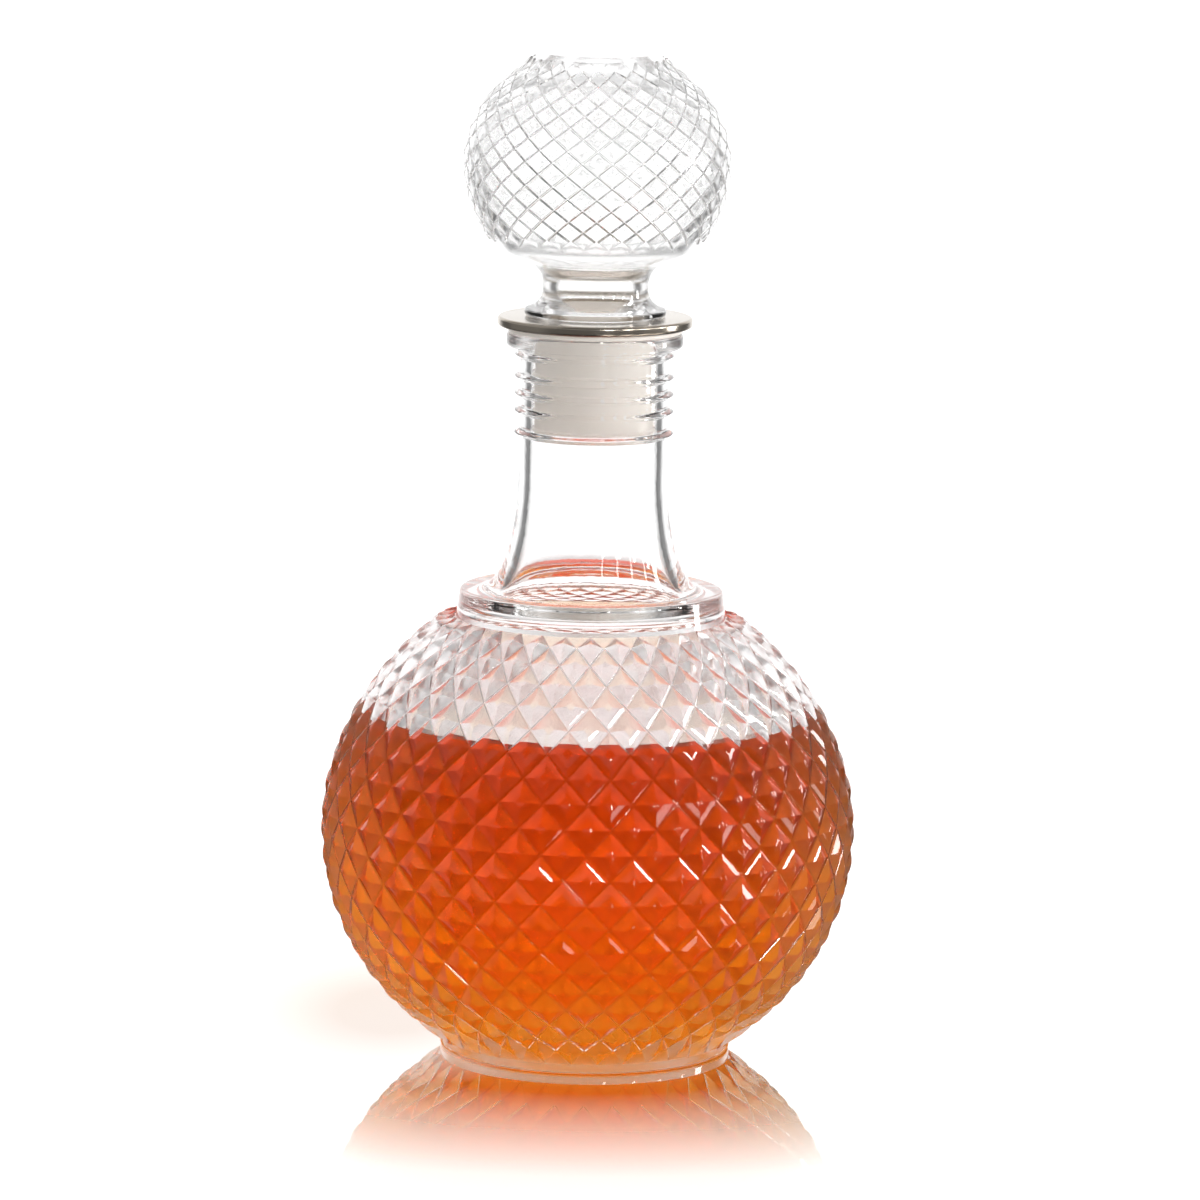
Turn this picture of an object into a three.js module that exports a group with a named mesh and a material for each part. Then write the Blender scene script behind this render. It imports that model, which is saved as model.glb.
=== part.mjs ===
// Cut-glass globe decanter with its hollow stopper and a fill of spirit.
// Millimetres, +Z up. The origin is the middle of the foot, on the plane that it stands on.
import * as THREE from 'three';

// ---- Fits ------------------------------------------------------------------------------

const seatGap = 0.3; // between pieces that rest on each other
const socketGap = 0.3; // round the glass stem, in the collar and in the sleeve
const ribGap = 0.3; // between the sleeve's ribs and the bore of the neck
const fillGap = 0.4; // between the spirit and the glass

// ---- Bottle: foot and globe ------------------------------------------------------------

const footRadius = 34.9;
const footHeight = 2.4;
const footLandWidth = 5; // the flat ring that stands on the table
const footKick = 1.6; // how far the middle of the underside rises
const footEdge = 0.8; // chamfer round the land
const baseThickness = 5.5;

const globeRadius = 64.4; // over the tips of the diamonds
const globeRise = 63.5; // from the widest level up to where the curve would close
const globeDrop = 61.3; // and down to where it would close
const globeRisePower = 1.85; // 2 is an ellipse, less is leaner
const globeDropPower = 2.05;
const globeCutDepth = 1.4;
const globeDiamonds = 36; // round any level
const globeCutRows = 21; // half diamonds from the foot to the band
const globeWall = 2.6; // behind the deepest of the cuts

const shoulderWall = 5.2; // over the top of the hollow
const hollowDropPower = 2.6; // a fuller curve than outside, for an even wall

// ---- Bottle: band, neck and lip --------------------------------------------------------

const bandRadius = 32.4; // at its lower edge
const bandTaper = 0.7; // how much narrower it is at the top
const bandHeight = 6.9;
const bandCorner = 1.1;
const bandSink = 2.7; // how far its lower edge lies below the tips of the diamonds

const boreRadius = 15.2;
const neckWall = 2.7;
const neckLength = 61.6; // from the top of the band to the mouth
const flareHeight = 27.2;
const flareReach = 9.1; // how far the outside spreads at the bottom of the neck
const boreReach = 9.1; // how far the bore spreads into the hollow
const roofWall = 3.4; // from the top of the band down to the roof of the hollow
const roofRound = 3.2; // of the hollow's edge, between its roof and its side

const beadStand = 1.15; // of the beads round the neck
const beadHeight = 1.9;
const beadDrops = [5.2, 10.4, 14.5, 18.6, 23.9]; // below the mouth

const lipStand = 3.3; // out from the neck
const lipHeight = 3.2;
const lipRound = 0.8;
const mouthRound = 0.7;

// ---- Spirit ----------------------------------------------------------------------------

const spiritDepth = 75.5; // above the bottom of the hollow

// ---- Stopper ---------------------------------------------------------------------------

const sleeveFlangeInset = 0.3; // of the flange from the edge of the lip
const sleeveFlangeThickness = 1;
const sleeveWall = 2.3;
const sleeveLength = 24.1; // below the mouth
const sleeveFloor = 1.6;
const ribStand = 0.7; // out from the barrel of the sleeve
const ribHeight = 0.9;
const ribPitch = 4.4;
const ribCount = 5;
const firstRibDrop = 5.2; // below the mouth

const collarStand = 2.1; // out from the edge of the lip
const collarThickness = 2.4;
const collarEdge = 0.7;

const stemLength = 20; // below the knob's foot
const knobWall = 3.1;
const knobFootStand = 5.3; // out from the stem
const knobFootHeight = 1.7;
const waistStand = 1.6; // out from the stem
const waistHeight = 6.9; // above the knob's foot
const waistRound = 4.2;
const stemEdge = 0.5; // chamfer at the end of the stem

const ballRadius = 32.3; // over the tips of the diamonds
const ballHeight = 36.9; // of its widest level above the knob's foot
const ballRise = 28.5; // from the widest level up to where the curve would close
const ballRisePower = 1.9;
const ballFlatHeight = 25.6; // of the flat top above the widest level
const ballCrownRadius = 15.6; // of the plain crown above the diamonds
const ballCutEnd = -37; // degrees below the widest level
const ballCutDepth = 0.8;
const ballDiamonds = 28;
const ballCutRows = 18;
const ballWall = 3; // behind the deepest of the cuts
const crownWall = 4;

// ---- Faceting --------------------------------------------------------------------------

const globeSides = globeDiamonds; // of the plain parts of the bottle
const ballSides = ballDiamonds;
const arcSteps = 4;
const turnedSides = 36;

// ---- Egg-shaped curves -----------------------------------------------------------------

const globe = {
  radius: globeRadius,
  rise: globeRise,
  drop: globeDrop,
  risePower: globeRisePower,
  dropPower: globeDropPower,
};

const ball = {
  radius: ballRadius,
  rise: ballRise,
  drop: ballRadius,
  risePower: ballRisePower,
  dropPower: 2,
};

/** Height of an egg curve above (side 1) or below (side -1) its widest level, at a radius. */
function eggHeight(egg, radius, side) {
  const reach = side > 0 ? egg.rise : egg.drop;
  const power = side > 0 ? egg.risePower : egg.dropPower;
  return side * reach * (1 - (radius / egg.radius) ** power) ** (1 / power);
}

/** The turn, in radians above the widest level, at which an egg curve has this height. */
function eggTurn(egg, height) {
  return Math.asin(height / (height > 0 ? egg.rise : egg.drop));
}

/** The point of an egg curve at a turn: its radius, and its height over the widest level. */
function eggPoint(egg, turn) {
  const above = turn > 0;
  const power = above ? egg.risePower : egg.dropPower;
  const height = Math.sin(turn) * (above ? egg.rise : egg.drop);
  const radius = egg.radius * Math.max(0, 1 - Math.abs(Math.sin(turn)) ** power) ** (1 / power);
  return new THREE.Vector2(radius, height);
}

/** Evenly spaced points along an egg curve, from one turn to another. */
function eggArc(egg, from, to, steps, z) {
  const fine = 400;
  const trail = [];
  for (let i = 0; i <= fine; i += 1) {
    trail.push(eggPoint(egg, from + ((to - from) * i) / fine));
  }
  const run = [0];
  for (let i = 1; i <= fine; i += 1) {
    run.push(run[i - 1] + trail[i].distanceTo(trail[i - 1]));
  }
  const points = [];
  let at = 0;
  for (let step = 0; step <= steps; step += 1) {
    const wanted = (run[fine] * step) / steps;
    while (at < fine && run[at] < wanted) {
      at += 1;
    }
    points.push(new THREE.Vector2(trail[at].x, trail[at].y + z));
  }
  return points;
}

// ---- Skins -----------------------------------------------------------------------------

/** A level ring of points round the axis. place(i) gives the radius and height of each. */
function ring(sides, place) {
  const points = [];
  for (let i = 0; i < sides; i += 1) {
    const angle = (i / sides) * 2 * Math.PI;
    const { x: radius, y: z } = place(i);
    points.push(new THREE.Vector3(radius * Math.cos(angle), radius * Math.sin(angle), z));
  }
  return points;
}

/** Plain rings through the points of an outline. */
function plainRings(outline, sides) {
  return outline.map((point) => ring(sides, () => point));
}

/** Rings whose points stand out and sink in by turns, which makes rows of diamonds. */
function cutRings(trail, depth, diamonds) {
  const rings = [];
  for (let row = 1; row < trail.length - 1; row += 1) {
    const along = trail[row + 1].clone().sub(trail[row - 1]).normalize();
    const groove = new THREE.Vector2(trail[row].x - along.y * depth, trail[row].y + along.x * depth);
    rings.push(ring(2 * diamonds, (i) => ((i + row) % 2 ? groove : trail[row])));
  }
  return rings;
}

/**
 * A closed skin from one point of the axis to another, through rings of points. Rings with the
 * same number of points are joined by squares, each split along its lower diagonal, which is
 * the groove where the rings are cut. A ring may have twice the points of the next.
 */
function skin(startZ, rings, endZ) {
  const points = [new THREE.Vector3(0, 0, startZ), ...rings.flat(), new THREE.Vector3(0, 0, endZ)];
  const starts = [];
  let count = 1;
  for (const each of rings) {
    starts.push(count);
    count += each.length;
  }
  const id = (row, i) => starts[row] + (i % rings[row].length);
  const reach = (row, i) => Math.hypot(points[id(row, i)].x, points[id(row, i)].y);
  const faces = [];
  for (let i = 0; i < rings[0].length; i += 1) {
    faces.push([0, id(0, i + 1), id(0, i)]);
  }
  for (let row = 0; row + 1 < rings.length; row += 1) {
    const here = rings[row].length;
    const next = rings[row + 1].length;
    for (let i = 0; i < Math.min(here, next); i += 1) {
      if (here === next) {
        const [a, b, c, d] = [id(row, i), id(row, i + 1), id(row + 1, i + 1), id(row + 1, i)];
        const rising = reach(row, i) + reach(row + 1, i + 1);
        const falling = reach(row, i + 1) + reach(row + 1, i);
        const split = rising < falling - 1e-6 ? [[a, b, c], [a, c, d]] : [[a, b, d], [b, c, d]];
        faces.push(...split);
      } else if (here < next) {
        faces.push([id(row, i), id(row, i + 1), id(row + 1, 2 * i + 1)]);
        faces.push([id(row, i), id(row + 1, 2 * i + 1), id(row + 1, 2 * i)]);
        faces.push([id(row, i + 1), id(row + 1, 2 * i + 2), id(row + 1, 2 * i + 1)]);
      } else {
        faces.push([id(row, 2 * i + 1), id(row + 1, i + 1), id(row + 1, i)]);
        faces.push([id(row, 2 * i), id(row, 2 * i + 1), id(row + 1, i)]);
        faces.push([id(row, 2 * i + 1), id(row, 2 * i + 2), id(row + 1, i + 1)]);
      }
    }
  }
  const last = rings.length - 1;
  for (let i = 0; i < rings[last].length; i += 1) {
    faces.push([id(last, i), id(last, i + 1), count]);
  }
  const geometry = new THREE.BufferGeometry().setFromPoints(points);
  geometry.setIndex(faces.flat());
  return geometry;
}

/** A turned piece: a closed outline, outside going up, swung round the axis. */
function turned(outline) {
  return new THREE.LatheGeometry(outline, turnedSides).rotateX(Math.PI / 2);
}

// ---- Radii that follow from the bore ---------------------------------------------------

const neckRadius = boreRadius + neckWall;
const lipRadius = neckRadius + lipStand;
const sleeveFlangeRadius = lipRadius - sleeveFlangeInset;
const collarRadius = lipRadius + collarStand;
const ribRadius = boreRadius - ribGap;
const barrelRadius = ribRadius - ribStand;
const socketRadius = barrelRadius - sleeveWall;
const stemRadius = socketRadius - socketGap;
const waistRadius = stemRadius + waistStand;
const knobFootRadius = stemRadius + knobFootStand;
const bandTopRadius = bandRadius - bandTaper;

// ---- Levels ----------------------------------------------------------------------------

const globeZ = footHeight - eggHeight(globe, footRadius, -1);
const bandBottomZ = globeZ + eggHeight(globe, bandRadius, 1) - bandSink;
const bandTopZ = bandBottomZ + bandHeight;
const flareTopZ = bandTopZ + flareHeight;
const mouthZ = bandTopZ + neckLength;
const hollowFloorZ = baseThickness;
const roofZ = bandTopZ - roofWall;
const spiritTopZ = hollowFloorZ + spiritDepth;

const flangeZ = mouthZ + seatGap;
const collarZ = flangeZ + sleeveFlangeThickness + seatGap;
const knobZ = collarZ + collarThickness + seatGap;
const ballZ = knobZ + ballHeight;

const hollow = {
  radius: globeRadius - globeCutDepth - globeWall,
  rise: globeRise - shoulderWall,
  drop: globeZ - hollowFloorZ,
  risePower: globeRisePower,
  dropPower: hollowDropPower,
};

// ---- Bottle ----------------------------------------------------------------------------

/** The underside and side of the foot, from the axis outwards. */
function footOutline() {
  const foot = new THREE.Path();
  foot.moveTo(footRadius - footEdge - footLandWidth, 0);
  foot.lineTo(footRadius - footEdge, 0);
  foot.lineTo(footRadius, footEdge);
  foot.lineTo(footRadius, footHeight);
  return foot.getPoints(arcSteps);
}

/** The plain outside of the bottle, from the lower edge of the band up to the mouth. */
function neckOutline() {
  const neck = new THREE.Path();
  neck.moveTo(bandRadius, bandBottomZ);
  neck.lineTo(bandTopRadius, bandTopZ - bandCorner);
  neck.absarc(bandTopRadius - bandCorner, bandTopZ - bandCorner, bandCorner, 0, Math.PI / 2, false);
  neck.absellipse(
    neckRadius + flareReach, flareTopZ, flareReach, flareHeight, -Math.PI / 2, -Math.PI, true,
  );
  for (const drop of beadDrops.toReversed()) {
    neck.lineTo(neckRadius, mouthZ - drop - beadHeight / 2);
    neck.lineTo(neckRadius + beadStand, mouthZ - drop);
    neck.lineTo(neckRadius, mouthZ - drop + beadHeight / 2);
  }
  neck.lineTo(neckRadius, mouthZ - lipHeight);
  neck.lineTo(lipRadius - lipRound, mouthZ - lipHeight);
  neck.lineTo(lipRadius, mouthZ - lipHeight + lipRound);
  neck.lineTo(lipRadius, mouthZ - lipRound);
  neck.lineTo(lipRadius - lipRound, mouthZ);
  return neck.getPoints(arcSteps);
}

/** The inside of the neck, from the mouth down to the roof of the hollow and round its edge. */
function boreOutline() {
  const spread = boreRadius + boreReach;
  const bore = new THREE.Path();
  bore.moveTo(boreRadius + mouthRound, mouthZ);
  bore.lineTo(boreRadius, mouthZ - mouthRound);
  bore.lineTo(boreRadius, flareTopZ);
  bore.absellipse(spread, flareTopZ, boreReach, flareTopZ - roofZ, Math.PI, 1.5 * Math.PI, false);
  bore.absarc(spread, roofZ - roofRound, roofRound, 0.5 * Math.PI, 0, true);
  return bore.getPoints(arcSteps);
}

/** The inside of the globe, from the edge of its roof to the middle of the floor. */
function hollowOutline() {
  const roofEdgeRadius = boreRadius + boreReach + roofRound;
  const neckTurn = eggTurn(hollow, eggHeight(hollow, roofEdgeRadius, 1));
  const levelTurn = eggTurn(hollow, spiritTopZ - globeZ);
  const upper = eggArc(hollow, neckTurn, levelTurn, 5, globeZ);
  const lower = eggArc(hollow, levelTurn, -Math.PI / 2, 14, globeZ);
  return [...upper.slice(1), ...lower.slice(1, -1)];
}

function bottleGeometry() {
  const footTurn = eggTurn(globe, eggHeight(globe, footRadius, -1));
  const bandTurn = eggTurn(globe, eggHeight(globe, bandRadius, 1));
  const trail = eggArc(globe, footTurn, bandTurn, globeCutRows, globeZ);
  const rings = [
    ...plainRings(footOutline(), globeSides),
    ...cutRings(trail, globeCutDepth, globeDiamonds),
    ...plainRings([...neckOutline(), ...boreOutline(), ...hollowOutline()], globeSides),
  ];
  return skin(footKick, rings, hollowFloorZ);
}

// ---- Spirit ----------------------------------------------------------------------------

function spiritGeometry() {
  const fill = {
    ...hollow,
    radius: hollow.radius - fillGap,
    rise: hollow.rise - fillGap,
    drop: hollow.drop - fillGap,
  };
  const side = eggArc(fill, -Math.PI / 2, eggTurn(fill, spiritTopZ - globeZ), 14, globeZ);
  side[0].x = 0;
  return turned([...side, new THREE.Vector2(0, spiritTopZ)]);
}

// ---- Stopper ---------------------------------------------------------------------------

/** The soft sleeve that grips the bore: a closed cup with a flange and thin ribs. */
function sleeveGeometry() {
  const floorZ = mouthZ - sleeveLength;
  const topZ = flangeZ + sleeveFlangeThickness;
  const outline = [new THREE.Vector2(0, floorZ), new THREE.Vector2(barrelRadius, floorZ)];
  for (let rib = ribCount - 1; rib >= 0; rib -= 1) {
    const z = mouthZ - firstRibDrop - rib * ribPitch;
    outline.push(new THREE.Vector2(barrelRadius, z - ribHeight / 2));
    outline.push(new THREE.Vector2(ribRadius, z));
    outline.push(new THREE.Vector2(barrelRadius, z + ribHeight / 2));
  }
  outline.push(new THREE.Vector2(barrelRadius, flangeZ));
  outline.push(new THREE.Vector2(sleeveFlangeRadius, flangeZ));
  outline.push(new THREE.Vector2(sleeveFlangeRadius, topZ));
  outline.push(new THREE.Vector2(socketRadius, topZ));
  outline.push(new THREE.Vector2(socketRadius, floorZ + sleeveFloor));
  outline.push(new THREE.Vector2(0, floorZ + sleeveFloor));
  return turned(outline);
}

/** The polished collar plate, a flat ring round the stem. */
function collarGeometry() {
  const topZ = collarZ + collarThickness;
  return turned([
    new THREE.Vector2(socketRadius, collarZ),
    new THREE.Vector2(collarRadius - collarEdge, collarZ),
    new THREE.Vector2(collarRadius, collarZ + collarEdge),
    new THREE.Vector2(collarRadius, topZ - collarEdge),
    new THREE.Vector2(collarRadius - collarEdge, topZ),
    new THREE.Vector2(socketRadius, topZ),
    new THREE.Vector2(socketRadius, collarZ),
  ]);
}

/** The stopper's inside, from the top of its hollow down to the open end of the stem. */
function knobHollowOutline() {
  const waistBore = waistRadius - knobWall;
  const inside = {
    radius: ballRadius - ballCutDepth - ballWall,
    rise: ballFlatHeight - crownWall,
    drop: ballRadius - ballCutDepth - ballWall,
    risePower: 2,
    dropPower: 2,
  };
  const waistTurn = eggTurn(inside, eggHeight(inside, waistBore, -1));
  return [
    ...eggArc(inside, Math.PI / 2, waistTurn, 12, ballZ).slice(1),
    new THREE.Vector2(waistBore, knobZ + waistHeight),
    new THREE.Vector2(stemRadius - knobWall, knobZ),
    new THREE.Vector2(stemRadius - knobWall, knobZ - stemLength),
  ];
}

/** The plain outside of the stem, foot and waist, up to the edge of the diamonds. */
function waistOutline(cutEdge) {
  const waist = new THREE.Path();
  waist.moveTo(stemRadius - stemEdge, knobZ - stemLength);
  waist.lineTo(stemRadius, knobZ - stemLength + stemEdge);
  waist.lineTo(stemRadius, knobZ);
  waist.lineTo(knobFootRadius, knobZ);
  waist.lineTo(knobFootRadius, knobZ + knobFootHeight);
  waist.absarc(
    waistRadius + waistRound, knobZ + waistHeight, waistRound, 1.3 * Math.PI, 0.7 * Math.PI, true,
  );
  waist.lineTo(cutEdge.x, cutEdge.y);
  return waist.getPoints(arcSteps);
}

function knobGeometry() {
  const lowTurn = THREE.MathUtils.degToRad(ballCutEnd);
  const crownTurn = eggTurn(ball, eggHeight(ball, ballCrownRadius, 1));
  const trail = eggArc(ball, lowTurn, crownTurn, ballCutRows, ballZ);
  const flatRadius = eggPoint(ball, eggTurn(ball, ballFlatHeight)).x;
  const crown = [trail[ballCutRows], new THREE.Vector2(flatRadius, ballZ + ballFlatHeight)];
  const rings = [
    ...plainRings([...knobHollowOutline(), ...waistOutline(trail[0])], ballSides),
    ...cutRings(trail, ballCutDepth, ballDiamonds),
    ...plainRings(crown, ballSides),
  ];
  return skin(ballZ + ballFlatHeight - crownWall, rings, ballZ + ballFlatHeight);
}

// ---- Assembly --------------------------------------------------------------------------

function glass() {
  return new THREE.MeshStandardMaterial({ color: 0xeef3f2, roughness: 0.04, metalness: 0 });
}

function spirit() {
  return new THREE.MeshStandardMaterial({ color: 0xd9640f, roughness: 0.02, metalness: 0 });
}

function milkyPolythene() {
  return new THREE.MeshStandardMaterial({ color: 0xe6dfd5, roughness: 0.35, metalness: 0 });
}

function bronzedMetal() {
  return new THREE.MeshStandardMaterial({ color: 0x8c7d6b, roughness: 0.18, metalness: 1 });
}

function part(name, geometry, material) {
  const mesh = new THREE.Mesh(geometry, material);
  mesh.name = name;
  return mesh;
}

const decanter = new THREE.Group();
decanter.name = 'decanter';

const bottle = new THREE.Group();
bottle.add(part('decanter_bottle', bottleGeometry(), glass()));
bottle.add(part('spirit_fill', spiritGeometry(), spirit()));
decanter.add(bottle);

const stopper = new THREE.Group();
stopper.add(part('stopper_sleeve', sleeveGeometry(), milkyPolythene()));
stopper.add(part('stopper_collar', collarGeometry(), bronzedMetal()));
stopper.add(part('stopper_knob', knobGeometry(), glass()));
decanter.add(stopper);

export default decanter;
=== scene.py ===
# Cut-glass decanter with amber spirit: the looks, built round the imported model. Metres, +Z up.
import math

import bpy
import numpy as np
from mathutils import Matrix, Vector


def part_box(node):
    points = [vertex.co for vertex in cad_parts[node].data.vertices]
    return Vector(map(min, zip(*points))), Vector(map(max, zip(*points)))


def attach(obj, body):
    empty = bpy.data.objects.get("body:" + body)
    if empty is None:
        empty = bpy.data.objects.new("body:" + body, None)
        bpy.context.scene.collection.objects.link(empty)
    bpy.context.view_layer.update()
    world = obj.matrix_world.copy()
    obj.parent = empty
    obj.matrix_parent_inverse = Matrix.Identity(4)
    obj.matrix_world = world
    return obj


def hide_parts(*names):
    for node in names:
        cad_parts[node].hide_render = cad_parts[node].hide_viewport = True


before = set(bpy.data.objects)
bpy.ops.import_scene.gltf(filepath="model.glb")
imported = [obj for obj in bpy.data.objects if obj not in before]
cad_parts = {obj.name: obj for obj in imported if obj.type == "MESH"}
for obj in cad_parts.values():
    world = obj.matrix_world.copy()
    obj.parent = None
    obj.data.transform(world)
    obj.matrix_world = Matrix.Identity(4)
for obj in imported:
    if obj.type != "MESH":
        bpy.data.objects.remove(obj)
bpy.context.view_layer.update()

MM = 0.001

# ---- Sizes from the frame ------------------------------------------------------------------

bottle_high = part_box("decanter_bottle")[1]
spirit_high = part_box("spirit_fill")[1]
sleeve_low, sleeve_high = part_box("stopper_sleeve")
collar_low, collar_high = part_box("stopper_collar")
knob_low, knob_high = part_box("stopper_knob")

GLOBE_RADIUS = bottle_high.x
MOUTH_Z = bottle_high.z
SPIRIT_Z = spirit_high.z
SLEEVE_FLANGE_RADIUS = sleeve_high.x
COLLAR_RADIUS = collar_high.x
BALL_RADIUS = knob_high.x
KNOB_TOP_Z = knob_high.z
STEM_END_Z = knob_low.z

# ---- Sizes of the glass --------------------------------------------------------------------

FOOT_RADIUS = 34.9 * MM
FOOT_HEIGHT = 2.4 * MM
FOOT_LAND = 5.0 * MM
FOOT_KICK = 1.6 * MM
FOOT_EDGE = 0.8 * MM
BASE_THICKNESS = 5.5 * MM

GLOBE_RISE = 63.5 * MM
GLOBE_DROP = 61.3 * MM
GLOBE_RISE_POWER = 1.85
GLOBE_DROP_POWER = 2.05
GLOBE_CUT_DEPTH = 1.4 * MM
GLOBE_DIAMONDS = 36
GLOBE_CUT_ROWS = 21
GLOBE_WALL = 2.6 * MM
SHOULDER_WALL = 5.2 * MM
HOLLOW_DROP_POWER = 2.6

BAND_RADIUS = 32.4 * MM
BAND_TAPER = 0.7 * MM
BAND_HEIGHT = 6.9 * MM
BAND_CORNER = 1.1 * MM
BAND_SINK = 2.7 * MM

BORE_RADIUS = 15.2 * MM
NECK_WALL = 2.7 * MM
FLARE_HEIGHT = 27.2 * MM
FLARE_REACH = 9.1 * MM
BORE_REACH = 9.1 * MM
ROOF_WALL = 3.4 * MM
ROOF_ROUND = 3.2 * MM
BEAD_STAND = 1.15 * MM
BEAD_HEIGHT = 1.9 * MM
BEAD_DROPS = (5.2 * MM, 10.4 * MM, 14.5 * MM, 18.6 * MM, 23.9 * MM)
LIP_STAND = 3.3 * MM
LIP_HEIGHT = 3.2 * MM
LIP_ROUND = 0.8 * MM
MOUTH_ROUND = 0.7 * MM

RIB_PITCH = 4.4 * MM
RIB_COUNT = 5
FIRST_RIB_DROP = 5.2 * MM
RIB_HEIGHT = 0.9 * MM
RIB_STAND = 0.7 * MM
RIB_GAP = 0.3 * MM
SLEEVE_WALL = 2.3 * MM
SLEEVE_FLOOR = 1.6 * MM
SLEEVE_EDGE = 0.4 * MM
FLANGE_GAP = 0.3 * MM       # between the sleeve's flange and the lip
SOCKET_GAP = 0.3 * MM
COLLAR_EDGE = 0.7 * MM

STEM_LENGTH = 20.0 * MM
STEM_BORE_DROP = 4.0 * MM   # how far below the knob's foot its bore has narrowed to the stem's
KNOB_WALL = 3.1 * MM
KNOB_EDGE = 0.5 * MM
KNOB_FOOT_STAND = 5.3 * MM
KNOB_FOOT_HEIGHT = 1.7 * MM
WAIST_STAND = 1.6 * MM
WAIST_HEIGHT = 6.9 * MM
WAIST_DRAW = 0.5 * MM       # how much the waist narrows below its turned size
WAIST_END_WAY = (-1, 0.35)  # how it runs out onto the knob's foot: outwards, and down a little
BALL_RISE = 28.5 * MM
BALL_RISE_POWER = 1.9
BALL_FLAT_HEIGHT = 25.6 * MM
BALL_CROWN_RADIUS = 15.6 * MM
BALL_CUT_END = -37.0        # where the diamonds start, in degrees above the ball's middle
BALL_HOLLOW_END = -52.0     # where its hollow turns into the waist's bore, likewise
BALL_CUT_DEPTH = 0.8 * MM
BALL_DIAMONDS = 28
BALL_CUT_ROWS = 18
BALL_WALL = 3.0 * MM
CROWN_WALL = 4.0 * MM

MENISCUS_RISE = 0.9 * MM
MENISCUS_WIDTH = 2.6 * MM

NECK_RADIUS = BORE_RADIUS + NECK_WALL
LIP_RADIUS = NECK_RADIUS + LIP_STAND
RIB_RADIUS = BORE_RADIUS - RIB_GAP
BARREL_RADIUS = RIB_RADIUS - RIB_STAND
SOCKET_RADIUS = BARREL_RADIUS - SLEEVE_WALL
STEM_RADIUS = SOCKET_RADIUS - SOCKET_GAP
WAIST_RADIUS = STEM_RADIUS + WAIST_STAND
KNOB_FOOT_RADIUS = STEM_RADIUS + KNOB_FOOT_STAND
KNOB_Z = STEM_END_Z + STEM_LENGTH
BALL_Z = KNOB_TOP_Z - BALL_FLAT_HEIGHT

SPIRIT_FILM = 0.08 * MM     # how far the spirit's skin lies inside the wall of the hollow
GLASS_IOR = 1.49
SPIRIT_IOR = 1.38
SKIN_IOR = 0.90             # of the spirit, as light meets it out of the glass


# ---- Egg-shaped curves ---------------------------------------------------------------------

class Egg:
    """A rounded outline whose upper and lower halves may differ: radius against height."""

    def __init__(self, radius, rise, drop, rise_power=2.0, drop_power=2.0):
        self.radius = radius
        self.rise = rise
        self.drop = drop
        self.rise_power = rise_power
        self.drop_power = drop_power

    def height(self, radius, side):
        reach = self.rise if side > 0 else self.drop
        power = self.rise_power if side > 0 else self.drop_power
        return side * reach * (1 - (radius / self.radius) ** power) ** (1 / power)

    def turn(self, height):
        return math.asin(height / (self.rise if height > 0 else self.drop))

    def arc(self, start, end, steps, z):
        """Evenly spaced points (radius, z) between two turns above the widest level."""
        turns = np.linspace(start, end, 1500)
        sines = np.sin(turns)
        above = sines > 0
        power = np.where(above, self.rise_power, self.drop_power)
        radius = self.radius * np.clip(1 - np.abs(sines) ** power, 0, 1) ** (1 / power)
        height = sines * np.where(above, self.rise, self.drop)
        run = np.concatenate([[0], np.cumsum(np.hypot(np.diff(radius), np.diff(height)))])
        wanted = np.linspace(0, run[-1], steps + 1)
        return [
            (float(r), float(h) + z)
            for r, h in zip(np.interp(wanted, run, radius), np.interp(wanted, run, height))
        ]


GLOBE = Egg(GLOBE_RADIUS, GLOBE_RISE, GLOBE_DROP, GLOBE_RISE_POWER, GLOBE_DROP_POWER)
BALL = Egg(BALL_RADIUS, BALL_RISE, BALL_RADIUS, BALL_RISE_POWER)
GLOBE_Z = FOOT_HEIGHT - GLOBE.height(FOOT_RADIUS, -1)
BAND_Z = GLOBE_Z + GLOBE.height(BAND_RADIUS, 1) - BAND_SINK
BAND_TOP_Z = BAND_Z + BAND_HEIGHT
FLARE_TOP_Z = BAND_TOP_Z + FLARE_HEIGHT
HOLLOW = Egg(
    GLOBE_RADIUS - GLOBE_CUT_DEPTH - GLOBE_WALL,
    GLOBE_RISE - SHOULDER_WALL,
    GLOBE_Z - BASE_THICKNESS,
    GLOBE_RISE_POWER,
    HOLLOW_DROP_POWER,
)


def arc(centre, radii, start, end, steps):
    """Points on a quarter, or any stretch, of an ellipse, between two angles in degrees."""
    angles = np.radians(np.linspace(start, end, steps + 1))
    across, up = radii
    return [(centre[0] + across * math.cos(a), centre[1] + up * math.sin(a)) for a in angles]


def line(start, end, steps=1):
    """Points from start to end, without start itself."""
    return [
        (start[0] + (end[0] - start[0]) * i / steps, start[1] + (end[1] - start[1]) * i / steps)
        for i in range(1, steps + 1)
    ]


def bend(start, start_way, end, end_way, steps):
    """A smooth run down from start to end; the ways are its directions, inwards and down."""
    pull = 0.45 * math.dist(start, end)
    inner = (start[0] - start_way[0] * pull, start[1] - start_way[1] * pull)
    outer = (end[0] + end_way[0] * pull, end[1] + end_way[1] * pull)
    points = []
    for i in range(1, steps + 1):
        t = i / steps
        weights = ((1 - t) ** 3, 3 * t * (1 - t) ** 2, 3 * t * t * (1 - t), t ** 3)
        corners = (start, inner, outer, end)
        points.append(tuple(sum(w * c[k] for w, c in zip(weights, corners)) for k in (0, 1)))
    return points


# ---- Skins ---------------------------------------------------------------------------------

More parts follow.
